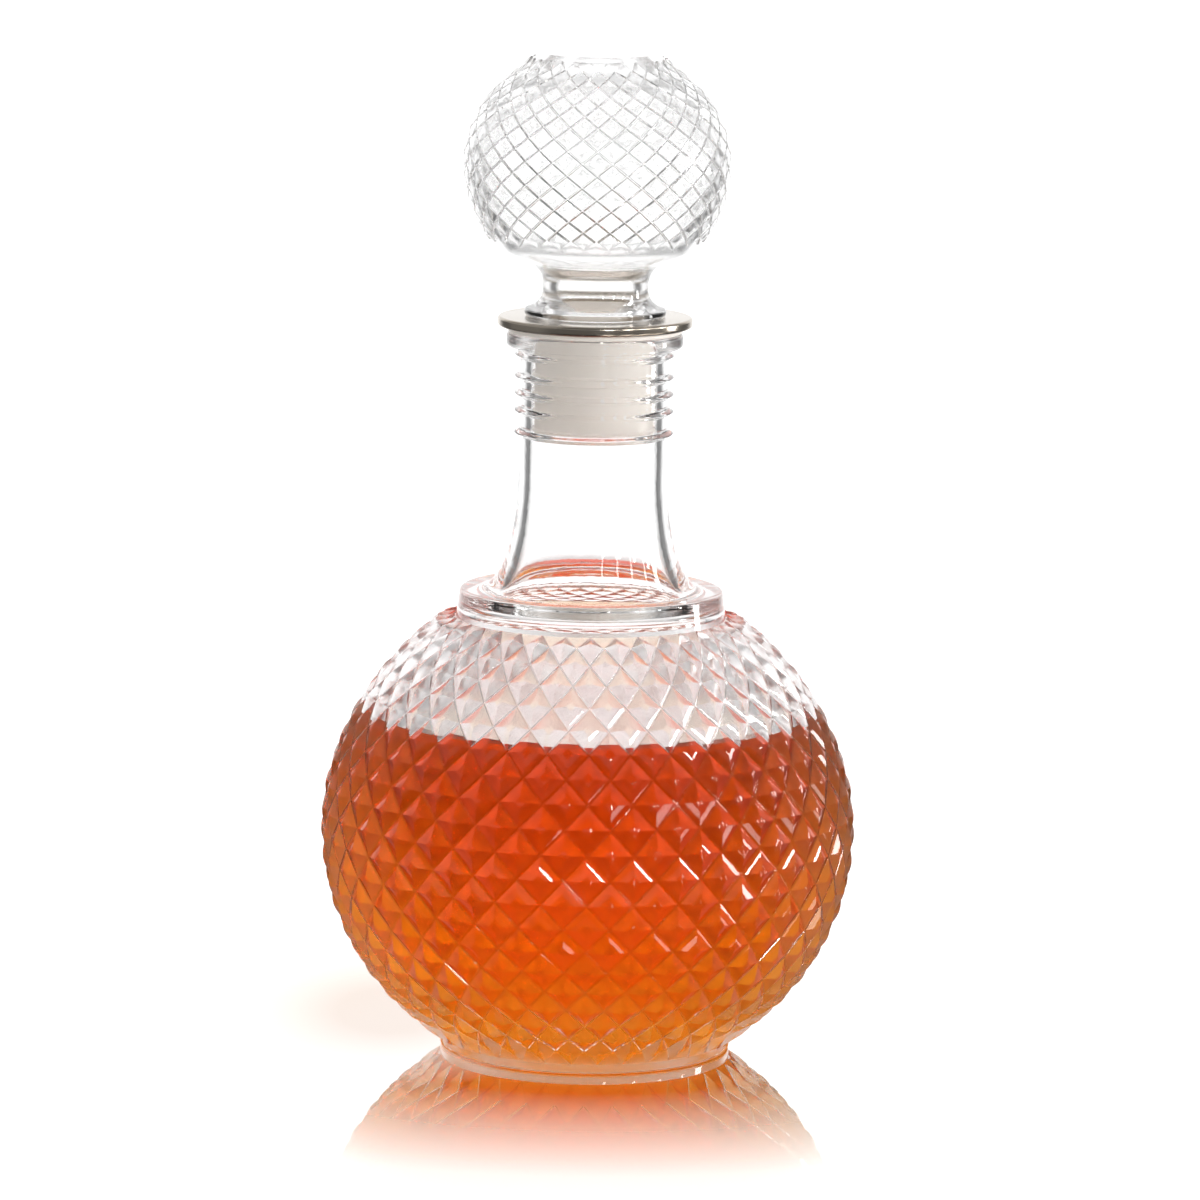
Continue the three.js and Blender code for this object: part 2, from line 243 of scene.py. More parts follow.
class Skin:
    """Collects a closed surface of rings and cut diamonds round the axis, and makes the mesh."""

    def __init__(self):
        self.points = []
        self.faces = []
        self.marks = []
        self.last = None

    def point(self, x, y, z):
        self.points.append((x, y, z))
        return len(self.points) - 1

    def face(self, corners, mark=0):
        self.faces.append(corners)
        self.marks.append(mark)

    def pole(self, z):
        self.last = [self.point(0, 0, z)]

    def ring(self, radius, z, sides):
        angles = np.arange(sides) / sides * 2 * math.pi
        return [self.point(radius * math.cos(a), radius * math.sin(a), z) for a in angles]

    def join(self, ring, mark=0):
        """Joins the last ring to a new one, which may have as many, twice or half the points."""
        last = self.last
        here, there = len(last), len(ring)
        if here == 1:
            for i in range(there):
                self.face((last[0], ring[(i + 1) % there], ring[i]), mark)
        elif there == 1:
            for i in range(here):
                self.face((last[i], last[(i + 1) % here], ring[0]), mark)
        elif here == there:
            for i in range(here):
                k = (i + 1) % here
                self.face((last[i], last[k], ring[k], ring[i]), mark)
        elif there == 2 * here:
            for i in range(here):
                k = (i + 1) % here
                self.face((last[i], last[k], ring[2 * i + 1]), mark)
                self.face((last[i], ring[2 * i + 1], ring[2 * i]), mark)
                self.face((last[k], ring[(2 * i + 2) % there], ring[2 * i + 1]), mark)
        else:
            for i in range(there):
                k = (i + 1) % there
                self.face((last[2 * i + 1], ring[k], ring[i]), mark)
                self.face((last[2 * i], last[2 * i + 1], ring[i]), mark)
                self.face((last[2 * i + 1], last[(2 * i + 2) % here], ring[k]), mark)
        self.last = ring

    def outline(self, points, sides, mark=0):
        for radius, z in points:
            if radius < 1e-7:
                self.join([self.point(0, 0, z)], mark)
            else:
                self.join(self.ring(radius, z, sides), mark)

    def diamonds(self, trail, depth, count, steps, first=None):
        """
        Rows of cut diamonds along a trail of tip points (radius, z), from its first point to
        its last, whose rings are plain. Each diamond is a low pyramid of four flat facets,
        with a rounded groove round it and a rounded tip. steps are pairs: a distance from
        groove (0) to tip (1), and the slope of the glass up to there.
        """
        rows, around = len(trail) - 1, 2 * count
        trail = np.array(trail)
        along = np.gradient(trail, axis=0)
        along /= np.linalg.norm(along, axis=1)[:, None]
        out = np.stack([along[:, 1], -along[:, 0]], axis=1)
        low = trail - out * depth
        low[0], low[rows] = (first or tuple(low[0])), trail[rows]
        reach = np.array([0.0] + [s[0] for s in steps])
        rise = np.concatenate([[0], np.cumsum(np.diff(reach) * [s[1] for s in steps])])
        rise *= depth / rise[-1]

        def swing(pair, column):
            angle = column / around * 2 * math.pi
            return np.array([pair[0] * math.cos(angle), pair[0] * math.sin(angle), pair[1]])

        ids = {}
        for row in range(rows + 1):
            for column in range(around):
                if (row + column) % 2 or row in (0, rows):
                    ids[row, column] = self.point(*swing(low[row], column))
        self.join([ids[0, c] for c in range(around)])
        for row in range(1, rows):
            for column in range(around):
                if (row + column) % 2:
                    continue
                middle = swing(low[row], column)
                normal = swing(out[row], column)
                corners = [(row - 1, column), (row, column + 1), (row + 1, column), (row, column - 1)]
                ridges = []
                for r, c in corners:
                    foot = swing(low[r], c)
                    ridge = [ids[r, c % around]]
                    for t, h in zip(reach[1:-1], rise[1:-1]):
                        ridge.append(self.point(*(foot + (middle - foot) * t + normal * h)))
                    ridges.append(ridge)
                tip = self.point(*(middle + normal * rise[-1]))
                for side in range(4):
                    a, b = ridges[side], ridges[(side + 1) % 4]
                    for k in range(len(a) - 1):
                        self.face((a[k], b[k], b[k + 1], a[k + 1]))
                    self.face((a[-1], b[-1], tip))
        for column in range(around):
            before, after = (column - 1) % around, (column + 1) % around
            if column % 2 == 0:
                self.face((ids[0, column], ids[0, after], ids[1, column]))
                self.face((ids[0, column], ids[1, column], ids[0, before]))
            if (rows + column) % 2 == 0:
                self.face((ids[rows, column], ids[rows, before], ids[rows - 1, column]))
                self.face((ids[rows, column], ids[rows - 1, column], ids[rows, after]))
        self.last = [ids[rows, c] for c in range(around)]

    def piece(self, name, crease=20):
        """The mesh as an object, smooth but for edges sharper than crease degrees."""
        mesh = bpy.data.meshes.new(name)
        mesh.from_pydata(self.points, [], self.faces)
        mesh.validate()
        mesh.update()
        mesh.shade_smooth()
        mesh.set_sharp_from_angle(angle=math.radians(crease))
        mark = mesh.attributes.new("mark", "FLOAT", "FACE")
        mark.data.foreach_set("value", np.array(self.marks, dtype=np.float32))
        piece = bpy.data.objects.new(name, mesh)
        bpy.context.scene.collection.objects.link(piece)
        return piece


# ---- Bottle --------------------------------------------------------------------------------

GLOBE_FACET = (
    (0.014, 0.3), (0.024, 1.5), (0.036, 3.4), (0.054, 4.6), (0.066, 2.8), (0.08, 1.4),
    (0.72, 0.85), (0.78, 0.62), (0.85, 0.4), (0.93, 0.2), (1.0, 0.06),
)
BALL_FACET = (
    (0.025, 0.5), (0.042, 2.2), (0.06, 5.0), (0.11, 9.0), (0.13, 3.2), (0.145, 1.4),
    (0.60, 0.36), (0.72, 0.28), (0.84, 0.18), (1.0, 0.06),
)
BOTTLE_SIDES = 4 * GLOBE_DIAMONDS
BALL_SIDES = 4 * BALL_DIAMONDS
PLAIN_SIDES = 144


def foot_outline():
    """The underside and edge of the foot, from near the axis outwards."""
    land = FOOT_RADIUS - FOOT_EDGE - FOOT_LAND
    kick = [(land * s, FOOT_KICK * (1 - s * s)) for s in np.linspace(0.15, 0.96, 8)]
    corner = arc((FOOT_RADIUS - FOOT_EDGE, FOOT_EDGE), (FOOT_EDGE, FOOT_EDGE), -90, 0, 6)
    return kick + [(land, 0.0)] + line((land, 0), (FOOT_RADIUS - FOOT_EDGE, 0), 3)[:-1] + corner


def neck_outline():
    """The plain outside from the lower edge of the band to the mouth."""
    band_top = BAND_RADIUS - BAND_TAPER
    points = line((BAND_RADIUS, BAND_Z), (band_top, BAND_TOP_Z - BAND_CORNER), 4)[:-1]
    corner = (band_top - BAND_CORNER, BAND_TOP_Z - BAND_CORNER)
    points += arc(corner, (BAND_CORNER, BAND_CORNER), 0, 90, 8)
    flare = (NECK_RADIUS + FLARE_REACH, FLARE_TOP_Z)
    points += line((band_top - BAND_CORNER, BAND_TOP_Z), (flare[0], BAND_TOP_Z), 3)[:-1]
    points += arc(flare, (FLARE_REACH, FLARE_HEIGHT), 270, 180, 28)
    level = FLARE_TOP_Z
    for drop in reversed(BEAD_DROPS):
        foot = MOUTH_Z - drop - BEAD_HEIGHT / 2
        points += line((NECK_RADIUS, level), (NECK_RADIUS, foot), 3)[:-1]
        points += bead(NECK_RADIUS, foot, BEAD_STAND, BEAD_HEIGHT, 14)
        level = foot + BEAD_HEIGHT
    lip_z = MOUTH_Z - LIP_HEIGHT
    points += line((NECK_RADIUS, level), (NECK_RADIUS, lip_z - LIP_ROUND), 2)[:-1]
    points += arc((NECK_RADIUS + LIP_ROUND, lip_z - LIP_ROUND), (LIP_ROUND, LIP_ROUND), 180, 90, 6)
    points += arc((LIP_RADIUS - LIP_ROUND, lip_z + LIP_ROUND), (LIP_ROUND, LIP_ROUND), -90, 0, 8)
    points += arc((LIP_RADIUS - LIP_ROUND, MOUTH_Z - LIP_ROUND), (LIP_ROUND, LIP_ROUND), 0, 90, 8)
    return points


def bead(radius, z, stand, height, steps):
    """A soft round swelling on an upright wall: a cosine, level with the wall at both ends."""
    turns = [2 * math.pi * i / steps for i in range(steps + 1)]
    return [
        (radius + stand * (1 - math.cos(a)) / 2, z + height * i / steps) for i, a in enumerate(turns)
    ]


def bore_outline():
    """The inside of the neck, from the mouth to the roof of the hollow and round its edge."""
    spread = BORE_RADIUS + BORE_REACH
    roof_z = BAND_TOP_Z - ROOF_WALL
    mouth = (BORE_RADIUS + MOUTH_ROUND, MOUTH_Z - MOUTH_ROUND)
    points = arc(mouth, (MOUTH_ROUND, MOUTH_ROUND), 90, 180, 6)
    points += line(points[-1], (BORE_RADIUS, FLARE_TOP_Z), 4)[:-1]
    points += arc((spread, FLARE_TOP_Z), (BORE_REACH, FLARE_TOP_Z - roof_z), 180, 270, 24)
    points += arc((spread, roof_z - ROOF_ROUND), (ROOF_ROUND, ROOF_ROUND), 80, 0, 8)
    return points


def hollow_outline(start, end, steps):
    return HOLLOW.arc(start, end, steps, GLOBE_Z)


HOLLOW_TOP_TURN = HOLLOW.turn(HOLLOW.height(BORE_RADIUS + BORE_REACH + ROOF_ROUND, 1))
LEVEL_TURN = HOLLOW.turn(SPIRIT_Z - GLOBE_Z)


def make_bottle():
    trail = GLOBE.arc(
        GLOBE.turn(GLOBE.height(FOOT_RADIUS, -1)),
        GLOBE.turn(GLOBE.height(BAND_RADIUS, 1)),
        GLOBE_CUT_ROWS,
        GLOBE_Z,
    )
    trail[-1] = (BAND_RADIUS, BAND_Z)
    skin = Skin()
    skin.pole(FOOT_KICK)
    skin.outline(foot_outline(), BOTTLE_SIDES)
    foot_top = (FOOT_RADIUS, FOOT_HEIGHT)
    skin.diamonds(trail, GLOBE_CUT_DEPTH, GLOBE_DIAMONDS, GLOBE_FACET, first=foot_top)
    skin.outline(neck_outline(), BOTTLE_SIDES)
    skin.outline(bore_outline(), BOTTLE_SIDES)
    skin.outline(hollow_outline(HOLLOW_TOP_TURN, LEVEL_TURN, 14)[1:], BOTTLE_SIDES, mark=2)
    wetted = hollow_outline(LEVEL_TURN, -math.pi / 2, 48)[1:-1] + [(0.0, BASE_THICKNESS)]
    skin.outline(wetted, BOTTLE_SIDES, mark=1)
    return skin.piece("bottle_glass")


# ---- Spirit --------------------------------------------------------------------------------

def make_spirit():
    film = Egg(
        HOLLOW.radius - SPIRIT_FILM,
        HOLLOW.rise - SPIRIT_FILM,
        HOLLOW.drop - SPIRIT_FILM,
        HOLLOW.rise_power,
        HOLLOW.drop_power,
    )
    side = film.arc(-math.pi / 2, film.turn(SPIRIT_Z + MENISCUS_RISE - GLOBE_Z), 50, GLOBE_Z)
    rim = side[-1][0]
    skin = Skin()
    skin.pole(side[0][1])
    skin.outline(side[1:], BOTTLE_SIDES)
    fall = [
        (rim - MENISCUS_WIDTH * s, SPIRIT_Z + MENISCUS_RISE * (1 - s) ** 2)
        for s in np.linspace(0.1, 1, 9)
    ]
    inwards = line(fall[-1], (0.0, SPIRIT_Z), 12)
    skin.outline(fall + inwards, BOTTLE_SIDES, mark=1)
    return skin.piece("amber_spirit", crease=45)


# ---- Stopper -------------------------------------------------------------------------------

def knob_inside():
    """The hollow ball, the waist's bore and the stem's, from the crown down."""
    inside = Egg(
        BALL_RADIUS - BALL_CUT_DEPTH - BALL_WALL,
        BALL_FLAT_HEIGHT - CROWN_WALL,
        BALL_RADIUS - BALL_CUT_DEPTH - BALL_WALL,
    )
    stem_bore = STEM_RADIUS - KNOB_WALL
    waist = (WAIST_RADIUS - WAIST_DRAW - KNOB_WALL, KNOB_Z + WAIST_HEIGHT)
    low_turn = math.radians(BALL_HOLLOW_END)
    low_way = (math.sin(-low_turn), math.cos(low_turn))
    points = inside.arc(math.pi / 2, low_turn, 36, BALL_Z)[1:]
    points += bend(points[-1], low_way, waist, (0, 1), 16)
    points += bend(waist, (0, 1), (stem_bore, KNOB_Z - STEM_BORE_DROP), (0, 1), 10)
    return points + line(points[-1], (stem_bore, STEM_END_Z), 3)


def knob_outside(cut_edge):
    """The stem, the foot and the waist, from the stem's end up to the edge of the diamonds."""
    edge = (KNOB_EDGE, KNOB_EDGE)
    foot_reach = KNOB_FOOT_RADIUS - KNOB_EDGE
    points = arc((STEM_RADIUS - KNOB_EDGE, STEM_END_Z + KNOB_EDGE), edge, -90, 0, 5)
    points += line(points[-1], (STEM_RADIUS, KNOB_Z), 4)
    points += line(points[-1], (foot_reach, KNOB_Z), 3)[:-1]
    points += arc((foot_reach, KNOB_Z + KNOB_EDGE), edge, -90, 0, 5)
    points += arc((foot_reach, KNOB_Z + KNOB_FOOT_HEIGHT - KNOB_EDGE), edge, 0, 70, 5)
    waist = (WAIST_RADIUS - WAIST_DRAW, KNOB_Z + WAIST_HEIGHT)
    cut_turn = math.radians(BALL_CUT_END)
    cut_way = (math.sin(-cut_turn), math.cos(cut_turn))
    cut_floor = (
        cut_edge[0] - BALL_CUT_DEPTH * cut_way[1],
        cut_edge[1] + BALL_CUT_DEPTH * cut_way[0],
    )
    points += bend(waist, (0, 1), points[-1], WAIST_END_WAY, 14)[-2::-1]
    return points + bend(cut_floor, cut_way, waist, (0, 1), 20)[::-1]


def make_knob():
    crown_turn = BALL.turn(BALL.height(BALL_CROWN_RADIUS, 1))
    flat_turn = BALL.turn(BALL_FLAT_HEIGHT)
    trail = BALL.arc(math.radians(BALL_CUT_END), crown_turn, BALL_CUT_ROWS, BALL_Z)
    flat_radius = BALL.arc(0, flat_turn, 2, BALL_Z)[-1][0]
    skin = Skin()
    skin.pole(BALL_Z + BALL_FLAT_HEIGHT - CROWN_WALL)
    skin.outline(knob_inside(), BALL_SIDES, mark=1)
    skin.outline(knob_outside(trail[0]), BALL_SIDES)
    skin.diamonds(trail, BALL_CUT_DEPTH, BALL_DIAMONDS, BALL_FACET)
    skin.outline(BALL.arc(crown_turn, flat_turn, 5, BALL_Z)[1:], BALL_SIDES)
    skin.outline([(flat_radius * s, KNOB_TOP_Z) for s in (0.96, 0.8, 0.5, 0.0)], BALL_SIDES)
    return skin.piece("stopper_knob_glass")


def make_ringed(name, points):
    """A piece with a hole along the axis: a loop of points, outside going up, swung round."""
    skin = Skin()
    first = skin.ring(*points[0], PLAIN_SIDES)
    skin.last = first
    for radius, z in points[1:]:
        skin.join(skin.ring(radius, z, PLAIN_SIDES))
    skin.join(first)
    return skin.piece(name, crease=35)


def make_collar():
    edge = (COLLAR_EDGE, COLLAR_EDGE)
    reach = COLLAR_RADIUS - COLLAR_EDGE
    low, high = collar_low.z, collar_high.z
    points = [(SOCKET_RADIUS, low)]
    points += arc((reach, low + COLLAR_EDGE), edge, -90, 0, 8)
    points += arc((reach, high - COLLAR_EDGE), edge, 0, 90, 8)
    points += [(SOCKET_RADIUS, high)]
    return make_ringed("stopper_collar_plate", points)


def make_sleeve():
    edge = (SLEEVE_EDGE, SLEEVE_EDGE)
    floor_z, top_z = sleeve_low.z, sleeve_high.z
    flange_z = MOUTH_Z + FLANGE_GAP
    reach = SLEEVE_FLANGE_RADIUS - SLEEVE_EDGE
    points = [(BARREL_RADIUS * s, floor_z) for s in (0.3, 0.6, 0.85)]
    points += arc((BARREL_RADIUS - SLEEVE_EDGE, floor_z + SLEEVE_EDGE), edge, -90, 0, 5)
    level = floor_z + SLEEVE_EDGE
    for rib in reversed(range(RIB_COUNT)):
        z = MOUTH_Z - FIRST_RIB_DROP - rib * RIB_PITCH - RIB_HEIGHT / 2
        points += line((BARREL_RADIUS, level), (BARREL_RADIUS, z), 3)[:-1]
        points += bead(BARREL_RADIUS, z, RIB_STAND, RIB_HEIGHT, 10)
        level = z + RIB_HEIGHT
    points += line((BARREL_RADIUS, level), (BARREL_RADIUS, flange_z), 3)
    points += arc((reach, flange_z + SLEEVE_EDGE), edge, -90, 0, 5)
    points += arc((reach, top_z - SLEEVE_EDGE), edge, 0, 90, 5)
    socket_z = floor_z + SLEEVE_FLOOR
    points += [(SOCKET_RADIUS, top_z), (SOCKET_RADIUS, socket_z), (0.0, socket_z)]
    skin = Skin()
    skin.pole(floor_z)
    skin.outline(points, PLAIN_SIDES)
    return skin.piece("stopper_sleeve_soft", crease=35)


# ---- Node trees ----------------------------------------------------------------------------

class Sock:
    """A shader socket that sums, products and the like can be written with."""

    def __init__(self, tree, link):
        self.tree = tree
        self.link = link

    def maths(self, operation, *others, swap=False):
        node = self.tree.nodes.new("ShaderNodeMath")
        node.operation = operation
        values = [self, *others]
        if swap:
            values.reverse()
        for slot, value in zip(node.inputs, values):
            self.tree.feed(slot, value)
        return Sock(self.tree, node.outputs[0])

    def __add__(self, other): return self.maths("ADD", other)
    def __radd__(self, other): return self.maths("ADD", other)
    def __sub__(self, other): return self.maths("SUBTRACT", other)
    def __rsub__(self, other): return self.maths("SUBTRACT", other, swap=True)
    def __mul__(self, other): return self.maths("MULTIPLY", other)
    def __rmul__(self, other): return self.maths("MULTIPLY", other)
    def __truediv__(self, other): return self.maths("DIVIDE", other)
    def __rtruediv__(self, other): return self.maths("DIVIDE", other, swap=True)
    def __pow__(self, other): return self.maths("POWER", other)
    def above(self, other): return self.maths("GREATER_THAN", other)
    def clamp(self): return self.maths("MAXIMUM", 0.0).maths("MINIMUM", 1.0)


class Tree:
    """A material's or the world's nodes."""

    def __init__(self, owner):
        owner.use_nodes = True
        self.nodes = owner.node_tree.nodes
        self.links = owner.node_tree.links
        self.nodes.clear()

    def feed(self, slot, value):
        if isinstance(value, Sock):
            self.links.new(value.link, slot)
        elif isinstance(value, (tuple, list)) and len(value) == 3 and len(slot.default_value) == 4:
            slot.default_value = (*value, 1.0)
        else:
            slot.default_value = value

    def node(self, kind, settings=None, out=0, **inputs):
        """A node of a kind, its settings made first, then its inputs fed by name."""
        node = self.nodes.new("ShaderNode" + kind)
        for key, value in (settings or {}).items():
            setattr(node, key, value)
        for key, value in inputs.items():
            name = key.replace("_", " ")
            slot = node.inputs[int(key[1:])] if key[1:].isdigit() else node.inputs[name]
            self.feed(slot, value)
        return Sock(self, node.outputs[out])

    def mix(self, factor, a, b):
        """A mix of two colours."""
        node = self.nodes.new("ShaderNodeMix")
        node.data_type = "RGBA"
        self.feed(node.inputs[0], factor)
        self.feed(node.inputs[6], a)
        self.feed(node.inputs[7], b)
        return Sock(self, node.outputs[2])

    def split(self, vector):
        """The three parts of a vector, each by itself."""
        parts = self.node("SeparateXYZ", Vector=vector).link.node.outputs
        return [Sock(self, part) for part in parts]

    def finish(self, kind, **sockets):
        node = self.nodes.new("ShaderNodeOutput" + kind)
        for name, value in sockets.items():
            self.feed(node.inputs[name], value)


def grows(value, start, over):
    """0 up to start, rising to 1 over the next stretch."""
    return ((value - start) / over).clamp()


def fades(value, start, over):
    """1 up to start, falling to 0 over the next stretch."""
    return (1.0 - (value - start) / over).clamp()


def material(name):
    made = bpy.data.materials.new(name)
    return made, Tree(made)


# ---- Finishes ------------------------------------------------------------------------------

PAINTED_SHADE_RISE = (12 * MM, 62 * MM)    # the height at which the painted shade starts to darken the spirit towards the top, and over how far
SHEEN_SLANT = (0.42, 0.25)      # how slanting a look on the spirit's surface meets its sheen


def pressed_glass():
    """Clear pressed glass: a slow waviness left by the mould, under a faint finer one."""
    made, tree = material("pressed_glass")
    place = tree.node("NewGeometry")
    slow = tree.node("TexNoise", Vector=place, Scale=55.0, Detail=1.5, Roughness=0.4)
    skin = tree.node("TexNoise", Vector=place, Scale=420.0, Detail=2.0, Roughness=0.5)
    bump = tree.node("Bump", Strength=0.35, Distance=0.00035, Height=slow + skin * 0.12)
    glass = tree.node(
        "BsdfGlass", {"distribution": "MULTI_GGX"},
        Color=(1.0, 1.0, 1.0), Roughness=0.0, IOR=GLASS_IOR, Normal=bump,
    )
    tree.finish("Material", Surface=glass)
    return made


def blown_inside(name, roughness):
    """The inside of a hollow, shaped by air and not by the mould: softly uneven and a little matt."""
    made, tree = material(name)
    place = tree.node("NewGeometry")
    peel = tree.node("TexNoise", Vector=place, Scale=130.0, Detail=2.0, Roughness=0.5)
    bump = tree.node("Bump", Strength=0.1, Distance=0.0002, Height=peel)
    glass = tree.node(
        "BsdfGlass", {"distribution": "MULTI_GGX"},
        Color=(1.0, 1.0, 1.0), Roughness=roughness, IOR=GLASS_IOR, Normal=bump,
    )
    tree.finish("Material", Surface=glass)
    return made


def wetted_glass():
    """The inside of the wall where the spirit lies: clear, as the spirit's skin bends the light."""
    made, tree = material("wetted_glass")
    tree.finish("Material", Surface=tree.node("BsdfTransparent", Color=(1.0, 1.0, 1.0)))
    return made


def amber_spirit():
    """Amber spirit: a matt skin against the glass, with painted shade that darkens it higher up, and an
    open surface.
    """
    made, tree = material("amber_spirit")
    place = tree.node("NewGeometry")
    opened = tree.node("Attribute", {"attribute_name": "mark"}, out=2)
    z = tree.split(place)[2]
    light = tree.node("BsdfGlass", Color=(1, 1, 1), Roughness=0.40, IOR=SKIN_IOR)
    # painted shade: a darker tint of the skin, mixed in by height, darkens the spirit towards the top
    painted_shade = tree.node("BsdfGlass", Color=(0.70, 0.53, 0.44), Roughness=0.40, IOR=SKIN_IOR)
    against = tree.node("MixShader", _0=grows(z, *PAINTED_SHADE_RISE), _1=light, _2=painted_shade)
    ripple = tree.node("TexNoise", Vector=place, Scale=30.0, Detail=1.0)
    bump = tree.node("Bump", Strength=0.1, Distance=0.0002, Height=ripple)
    surface = tree.node("BsdfGlass", Color=(1, 1, 1), Roughness=0.0, IOR=SPIRIT_IOR, Normal=bump)
    slant = tree.node("LayerWeight", out=1, Blend=0.5)
    sheen = tree.node("BsdfGlossy", Color=(0.97, 0.95, 0.86), Roughness=0.05)
    top = tree.node("MixShader", _0=grows(slant, *SHEEN_SLANT) * 0.78, _1=surface, _2=sheen)
    shader = tree.node("MixShader", _0=opened, _1=against, _2=top)
    depth = tree.node("VolumeAbsorption", Color=(0.99, 0.74, 0.03), Density=76.0)
    tree.finish("Material", Surface=shader, Volume=depth)
    return made


def milky_polythene():
    """Natural polythene: milky, satin, with light passing through, faint flow marks and a slight painted
    glow that stands in for back light shining through it.
    """
    made, tree = material("milky_polythene")
    place = tree.node("NewGeometry")
    cloud = tree.node("TexNoise", Vector=place, Scale=90.0, Detail=3.0)
    grain = tree.node("TexNoise", Vector=place, Scale=1500.0, Detail=2.0)
    colour = tree.mix(cloud, (0.86, 0.82, 0.77), (0.93, 0.90, 0.87))
    bump = tree.node("Bump", Strength=0.25, Distance=0.0001, Height=grain + cloud * 0.5)
    # painted light: the emission is a glow that stands in for back light through the sleeve
    body = tree.node(
        "BsdfPrincipled", Base_Color=colour, Roughness=0.24 + grain * 0.1, Normal=bump, IOR=1.5,
        Emission_Color=colour, Emission_Strength=0.3,
    )
    through = tree.node("BsdfTranslucent", Color=colour, Normal=bump)
    tree.finish("Material", Surface=tree.node("MixShader", _0=0.4, _1=body, _2=through))
    return made


def bronzed_metal():
    """Polished metal with a dark bronze cast, turned, with hairline marks round the rim."""
    made, tree = material("bronzed_metal")
    place = tree.node("NewGeometry")
    x, y, z = tree.split(place)
    radius = (x * x + y * y) ** 0.5
    rings = tree.node(
        "TexNoise", {"noise_dimensions": "1D"}, W=radius * 9000.0 + z * 14000.0, Detail=2.0,
    )
    stain = tree.node("TexNoise", Vector=place, Scale=60.0, Detail=4.0)
    colour = tree.mix(stain, (0.40, 0.345, 0.285), (0.50, 0.45, 0.385))
    bump = tree.node("Bump", Strength=0.12, Distance=0.00004, Height=rings)
    metal = tree.node(
        "BsdfPrincipled", Base_Color=colour, Metallic=1.0, Roughness=0.1 + rings * 0.1, Normal=bump,
    )
    tree.finish("Material", Surface=metal)
    return made


# ---- Assembly ------------------------------------------------------------------------------

def dress(piece, body, node, slot, *finishes):
    for finish in finishes:
        piece.data.materials.append(finish)
    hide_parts(node)
    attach(piece, body)
    return piece


def finish_faces(piece):
    """Gives each face the finish that its mark names."""
    marks = np.zeros(len(piece.data.polygons), dtype=np.float32)
    piece.data.attributes["mark"].data.foreach_get("value", marks)
    piece.data.polygons.foreach_set("material_index", marks.astype(np.int32))


clear = pressed_glass()
bottle = make_bottle()
dress(
    bottle, "bottle", "decanter_bottle", "clear_glass",
    clear, wetted_glass(), blown_inside("blown_shoulder", 0.24),
)
finish_faces(bottle)
dress(make_spirit(), "bottle", "spirit_fill", "amber_spirit", amber_spirit())
dress(make_collar(), "collar", "stopper_collar", "bronzed_metal", bronzed_metal())
dress(make_sleeve(), "stopper", "stopper_sleeve", "milky_polythene", milky_polythene())
knob = make_knob()
dress(knob, "stopper", "stopper_knob", "clear_glass", clear, blown_inside("blown_ball", 0.15))
finish_faces(knob)


# ---- Studio --------------------------------------------------------------------------------
#
# The eye sees a white floor in a white room. The glass sees a darker floor and room with bright
# panels in them, because glass with white on every side has no outline.

PANEL_CORE = 0.6                # the share of a panel's spread that is at full brightness
PANE_TURNS = (16, 40, 62, 84)   # where the window's panes stand, degrees round from the front
PANE_DISTANCE = 1.22
PANE_HEIGHT = 0.40
LAMP_AIM = (0, 0, 80 * MM)

# Along the floor, from the axis: where each change starts, and over how far it goes on.
WARM_LIGHT_FADES = (70 * MM, 90 * MM)
POLISH_FADES = (55 * MM, 85 * MM)
FOOT_SHADE = (35 * MM, 30 * MM)
AMBER_LIGHT_POOL_FADES = (36 * MM, 30 * MM)
MIDDLE_DIMS = (130 * MM, 80 * MM)
MIDDLE_ENDS = (360 * MM, 100 * MM)
FAR_LIGHT = (420 * MM, 200 * MM)
STREAKS_FROM, STREAKS_TO = 160 * MM, 600 * MM
STREAK_EDGE = (0.9985, 0.0008)  # how closely the floor must lie towards a pane, as a cosine

# The warm light that the decanter casts behind it, painted onto the floor as a soft patch.
CAST_X, CAST_Y = -48 * MM, 35 * MM
CAST_RADIUS = 45 * MM
CAST_SHORTENS = 0.25            # it is twice as long as it is wide


def panels(x, y, spread, sides, front, rest):
    """How bright the studio is towards (x, y): a white panel behind, less at the sides and front."""
    across = (x * x + y * y) ** 0.5 + 1e-5
    ahead, aside = y / across, (x / across).maths("ABSOLUTE")
    edge = math.cos(math.radians(spread))
    over = math.cos(math.radians(spread * PANEL_CORE)) - edge
    behind = grows(ahead, edge, over)
    beside = grows(aside, edge, over) * sides
    before = grows(-1.0 * ahead, edge, over) * front
    return behind.maths("MAXIMUM", beside).maths("MAXIMUM", before).maths("MAXIMUM", rest)


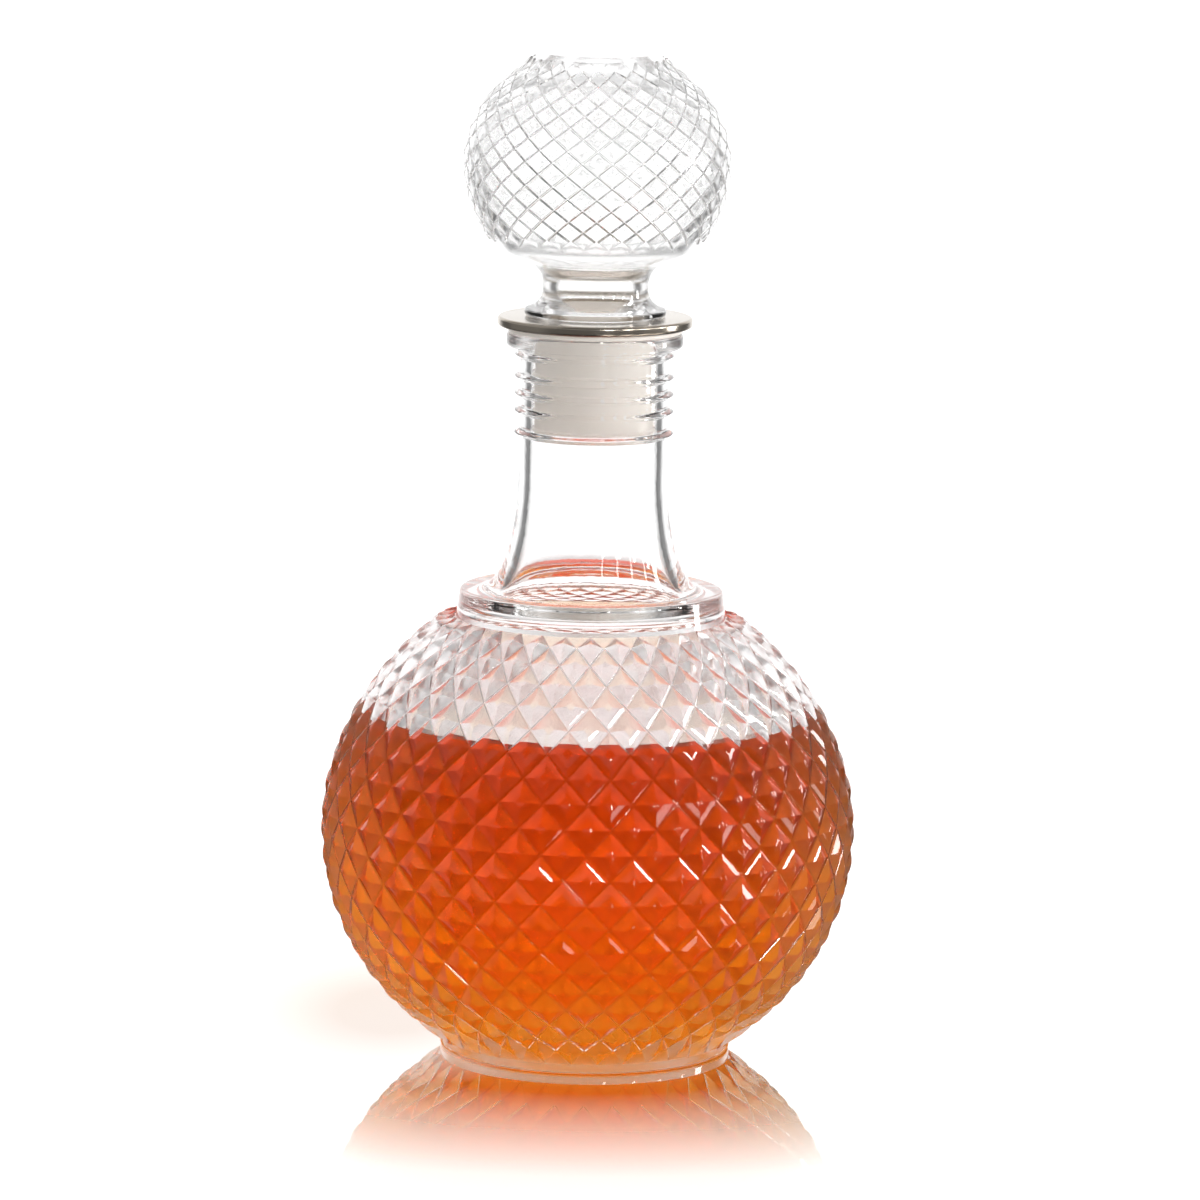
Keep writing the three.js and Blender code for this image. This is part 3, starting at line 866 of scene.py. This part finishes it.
def floor_for_the_eye(tree, place, x, y, away):
    """Polished white, lit from below, very slightly mottled, with painted warm light near the foot and a
    painted patch of the warm light the decanter casts.
    """
    haze = tree.node("TexNoise", Vector=place, Scale=3.0, Detail=3.0)
    colour = tree.mix(haze, (0.28, 0.278, 0.275), (0.31, 0.31, 0.31))
    sheet = tree.node("BsdfPrincipled", Base_Color=colour, Roughness=0.3, IOR=1.3)
    # painted light: the floor's glow turns warm near the foot, standing in for amber light thrown through
    # the spirit
    painted_warm_light = tree.mix(fades(away, *WARM_LIGHT_FADES), (1.0, 1.0, 1.0), (1.0, 0.86, 0.66))
    glow = tree.node("Emission", Color=painted_warm_light, Strength=0.95)
    lit = tree.node("AddShader", _0=sheet, _1=glow)
    mirror = tree.node("BsdfGlossy", Color=(0.97, 0.97, 0.97), Roughness=0.02)
    polish = fades(away, *POLISH_FADES) * 0.89 + 0.1
    polished = tree.node("MixShader", _0=polish, _1=lit, _2=mirror)
    # painted light: a warm emissive patch where the decanter's cast light would fall
    reach = ((x - CAST_X) ** 2.0 + (y - CAST_Y) ** 2.0 * CAST_SHORTENS) ** 0.5
    cast = (1.0 - reach / CAST_RADIUS).clamp()
    painted_cast_light = tree.node("Emission", Color=(0.91, 0.78, 0.70), Strength=1.0)
    return tree.node("MixShader", _0=(cast * 1.4).clamp() * 0.8, _1=polished, _2=painted_cast_light)


def floor_for_the_glass(tree, x, y, away):
    """Dull and dark, with the panels' light, a painted pool of amber light under the foot and painted
    streaks of the panes' light.
    """
    around = panels(x, y, spread=40.0, sides=0.2, front=0.04, rest=0.03) * grows(away, *FOOT_SHADE)
    around = around.maths("MAXIMUM", grows(away, *FAR_LIGHT) * 0.12)
    light = around * (1.0 - grows(away, *MIDDLE_DIMS) * 0.5 + grows(away, *MIDDLE_ENDS) * 0.35)
    white = tree.mix(light, (0, 0, 0), (1, 1, 1))
    # painted light: an amber pool of light on the floor under the foot, which only the glass sees
    colour = tree.mix(fades(away, *AMBER_LIGHT_POOL_FADES), white, (0.60, 0.19, 0.012))
    soft = tree.node("Emission", Color=colour, Strength=1.6)
    dull = tree.node("BsdfDiffuse", Color=(0.03, 0.03, 0.03))
    room = tree.node("AddShader", _0=dull, _1=soft)
    # painted reflection: bright streaks on the floor towards each pane, standing in for the panes' light
    # mirrored in the floor
    streaks = 0.0
    for turn in PANE_TURNS:
        angle = math.radians(turn)
        towards = (x * math.sin(angle) - y * math.cos(angle)) / away
        streaks = grows(towards, *STREAK_EDGE) + streaks
    streaks = streaks.clamp() * (away.above(STREAKS_FROM) - away.above(STREAKS_TO))
    pane = tree.node("Emission", Color=(1.0, 0.96, 0.9), Strength=5.0)
    return tree.node("MixShader", _0=streaks, _1=room, _2=pane)


def white_floor():
    made, tree = material("white_floor")
    place = tree.node("NewGeometry")
    x, y = tree.split(place)[:2]
    away = (x * x + y * y) ** 0.5
    seen = floor_for_the_eye(tree, place, x, y, away)
    room = floor_for_the_glass(tree, x, y, away)
    eye = tree.node("LightPath")
    tree.finish("Material", Surface=tree.node("MixShader", _0=eye, _1=room, _2=seen))
    return made


def make_floor():
    bpy.ops.mesh.primitive_circle_add(vertices=96, radius=14.0, fill_type="NGON", location=(0, 0, 0))
    floor = bpy.context.object
    floor.name = "floor"
    floor.data.materials.append(white_floor())


def make_world():
    """The room: for the glass a bright wall behind, greyer sides, a dim front, a low ring of
    light and a soft ceiling; for the eye plain white."""
    world = bpy.data.worlds.new("studio")
    bpy.context.scene.world = world
    tree = Tree(world)
    x, y, z = tree.split(tree.node("TexCoord"))
    wall = panels(x, y, spread=52.0, sides=0.28, front=0.10, rest=0.06)
    ring = (grows(z, 0.10, 0.05) - grows(z, 0.34, 0.08)) * 0.45
    walls = tree.mix(wall.maths("MAXIMUM", ring), (0, 0, 0), (1, 1, 1))
    ceiling = grows(z, 0.45, 0.35) * (y * 1.2 + 0.55).clamp()
    shade = tree.mix(ceiling, walls, (0.6, 0.6, 0.6))
    eye = tree.node("LightPath")
    room = tree.node("Background", Color=shade, Strength=1.3)
    plain = tree.node("Background", Color=(1, 1, 1), Strength=1.3)
    tree.finish("World", Surface=tree.node("MixShader", _0=eye, _1=room, _2=plain))


def make_camera():
    """Far off with a long lens, looking a little down, and turned and tilted by a hair."""
    aim = Vector((0, 0, 108.8 * MM))
    distance = 1.8
    pitch = math.radians(9.0)
    yaw = math.radians(-0.0695)
    roll = math.radians(0.868)
    camera = bpy.data.objects.new("camera", bpy.data.cameras.new("camera"))
    bpy.context.scene.collection.objects.link(camera)
    camera.data.sensor_width = 36.0
    camera.data.lens = 225.0
    camera.data.clip_start = 0.05
    camera.data.clip_end = 100.0
    camera.location = aim + distance * Vector((0, -math.cos(pitch), math.sin(pitch)))
    turn = Matrix.Rotation(yaw, 4, "Z") @ Matrix.Rotation(math.pi / 2 - pitch, 4, "X")
    camera.rotation_euler = (turn @ Matrix.Rotation(roll, 4, "Z")).to_euler()
    bpy.context.scene.camera = camera


def make_softbox(name, place, width, height, power):
    lamp = bpy.data.lights.new(name, "AREA")
    lamp.shape = "RECTANGLE"
    lamp.size = width
    lamp.size_y = height
    lamp.energy = power
    box = bpy.data.objects.new(name, lamp)
    box.location = place
    box.rotation_euler = (Vector(LAMP_AIM) - Vector(place)).to_track_quat("-Z", "Y").to_euler()
    bpy.context.scene.collection.objects.link(box)


make_floor()
make_world()
make_camera()
for turn in PANE_TURNS:
    angle = math.radians(turn)
    place = (PANE_DISTANCE * math.sin(angle), -PANE_DISTANCE * math.cos(angle), PANE_HEIGHT)
    make_softbox(f"window_pane_{turn}", place, width=0.06, height=0.32, power=2.6)
make_softbox("side_window", (1.15, 0.25, 0.2), width=0.16, height=0.5, power=3.5)

scene = bpy.context.scene
scene.view_settings.view_transform = "Standard"
scene.cycles.max_bounces = 40
scene.cycles.transmission_bounces = 36
scene.cycles.glossy_bounces = 16
scene.cycles.diffuse_bounces = 4
scene.cycles.transparent_max_bounces = 48
scene.cycles.caustics_refractive = True
scene.cycles.caustics_reflective = True
scene.cycles.blur_glossy = 0.2
scene.cycles.sample_clamp_indirect = 12.0
